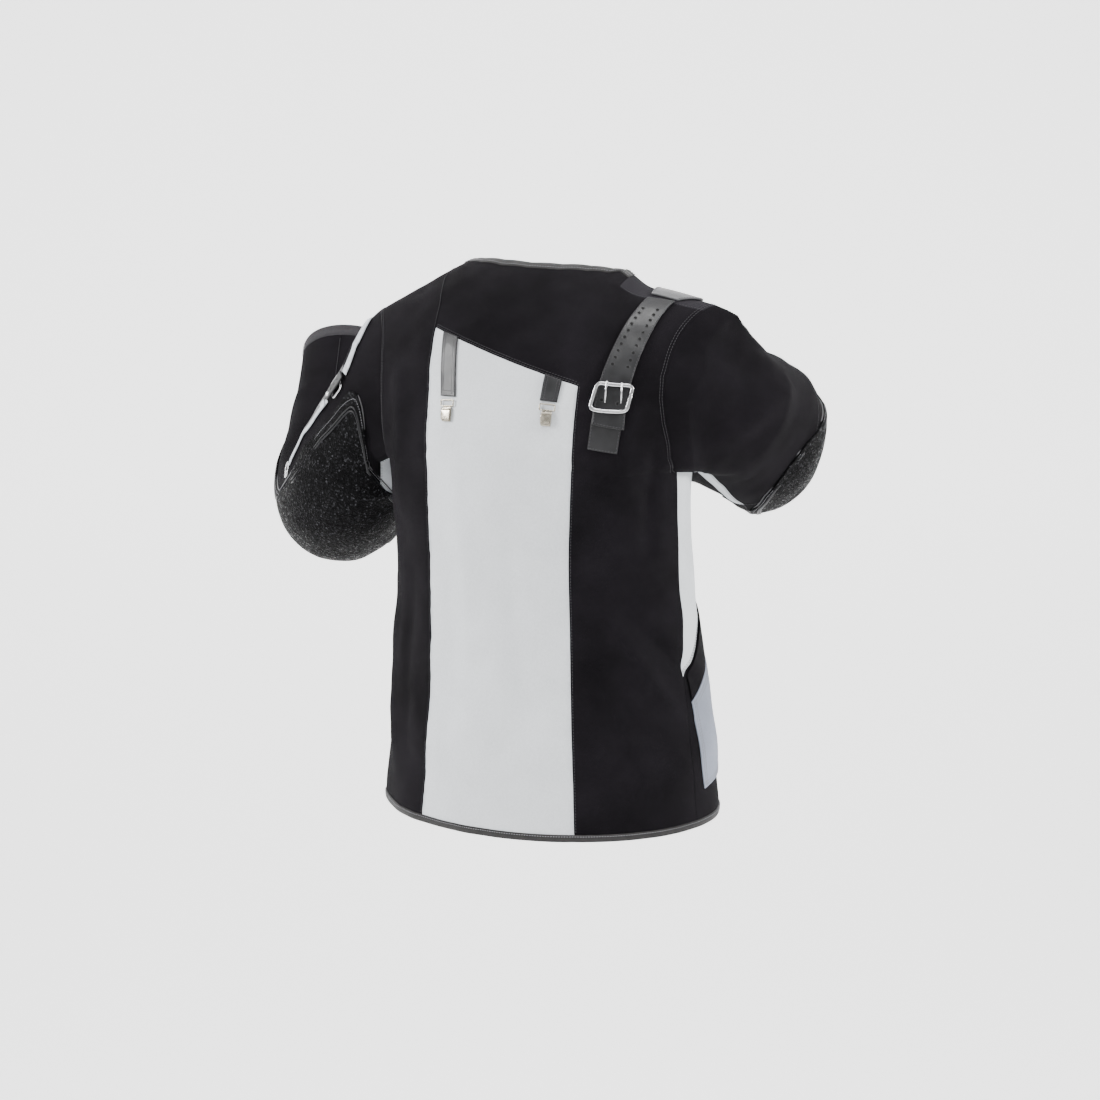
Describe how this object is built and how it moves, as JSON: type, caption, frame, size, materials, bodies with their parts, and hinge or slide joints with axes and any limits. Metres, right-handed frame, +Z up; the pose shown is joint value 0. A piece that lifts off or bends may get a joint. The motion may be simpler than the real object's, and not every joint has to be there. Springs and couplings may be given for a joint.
{
  "type": "shooting jacket",
  "caption": "Sleeved canvas target jacket, filled out as worn: panelled back, rubber elbow patches, buckled shoulder strap, back clips and a sling strap on the upper sleeve.",
  "frame": {"origin": "between the shoulders, at the height of the shoulder ridge's middle, where the wearer carries the jacket", "axes": "+Z up, the wearer faces -Y so the back is at +Y, the wearer's left is +X"},
  "size_m": [0.7529, 0.4506, 0.6764],
  "materials": {
    "canvas_black": "matt woven canvas",
    "canvas_shoulder": "matt woven canvas, slightly lighter",
    "canvas_white": "matt coated canvas",
    "canvas_grey": "silver-grey woven cloth",
    "tape_grey": "ribbed binding tape",
    "leather_black": "semi-gloss leather",
    "rubber_black": "granular crumb rubber",
    "buckle_steel": "polished",
    "clip_nickel": "nickel plated",
    "button_black": "polished",
    "webbing_silver": "woven webbing"
  },
  "bodies": {
    "jacket": {"back_center": "canvas_white", "back_left": "canvas_black", "back_right_yoke": "canvas_black", "button_1": "button_black", "button_2": "button_black", "button_3": "button_black", "button_4": "button_black", "button_5": "button_black", "clip_loop_left": "clip_nickel", "clip_loop_right": "clip_nickel", "clip_pin_left": "clip_nickel", "clip_pin_right": "clip_nickel", "clip_plate_left": "clip_nickel", "clip_plate_right": "clip_nickel", "cuff_left": "canvas_black", "cuff_right": "canvas_black", "elbow_patch_left": "rubber_black", "elbow_patch_right": "rubber_black", "front_left": "canvas_white", "front_lower_left": "canvas_black", "front_lower_right": "canvas_black", "front_placket": "canvas_black", "front_right": "canvas_white", "hem_binding": "tape_grey", "neck_binding": "tape_grey", "pocket": "canvas_grey", "pocket_welt": "canvas_black", "shoulder_left": "canvas_shoulder", "shoulder_right": "canvas_shoulder", "sleeve_left_forearm_back": "canvas_black", "sleeve_left_forearm_front": "canvas_black", "sleeve_left_upper_back": "canvas_black", "sleeve_left_upper_front": "canvas_white", "sleeve_right_forearm_back": "canvas_black", "sleeve_right_forearm_front": "canvas_black", "sleeve_right_upper_back": "canvas_black", "sleeve_right_upper_front": "canvas_white", "sling_hook": "clip_nickel", "sling_ring": "clip_nickel", "sling_strap_lower": "webbing_silver", "sling_strap_upper": "webbing_silver", "strap_anchor": "leather_black", "strap_back": "leather_black", "strap_buckle": "buckle_steel", "strap_over_shoulder": "leather_black", "strap_prong_inner": "buckle_steel", "strap_prong_outer": "buckle_steel", "tab_left": "leather_black", "tab_right": "leather_black"},
    "lever_left": {"clip_lever_left": "clip_nickel"},
    "lever_right": {"clip_lever_right": "clip_nickel"}
  },
  "joints": [
    {"name": "clip_lever_left_hinge", "type": "hinge", "parent": "jacket", "child": "lever_left", "pos_m": [0.06357, 0.15166, -0.16831], "axis": [0.9811, -0.1896, -0.0391], "range_deg": [0, 100]},
    {"name": "clip_lever_right_hinge", "type": "hinge", "parent": "jacket", "child": "lever_right", "pos_m": [-0.06548, 0.15098, -0.16833], "axis": [0.9787, 0.1939, 0.0683], "range_deg": [0, 100]}
  ]
}
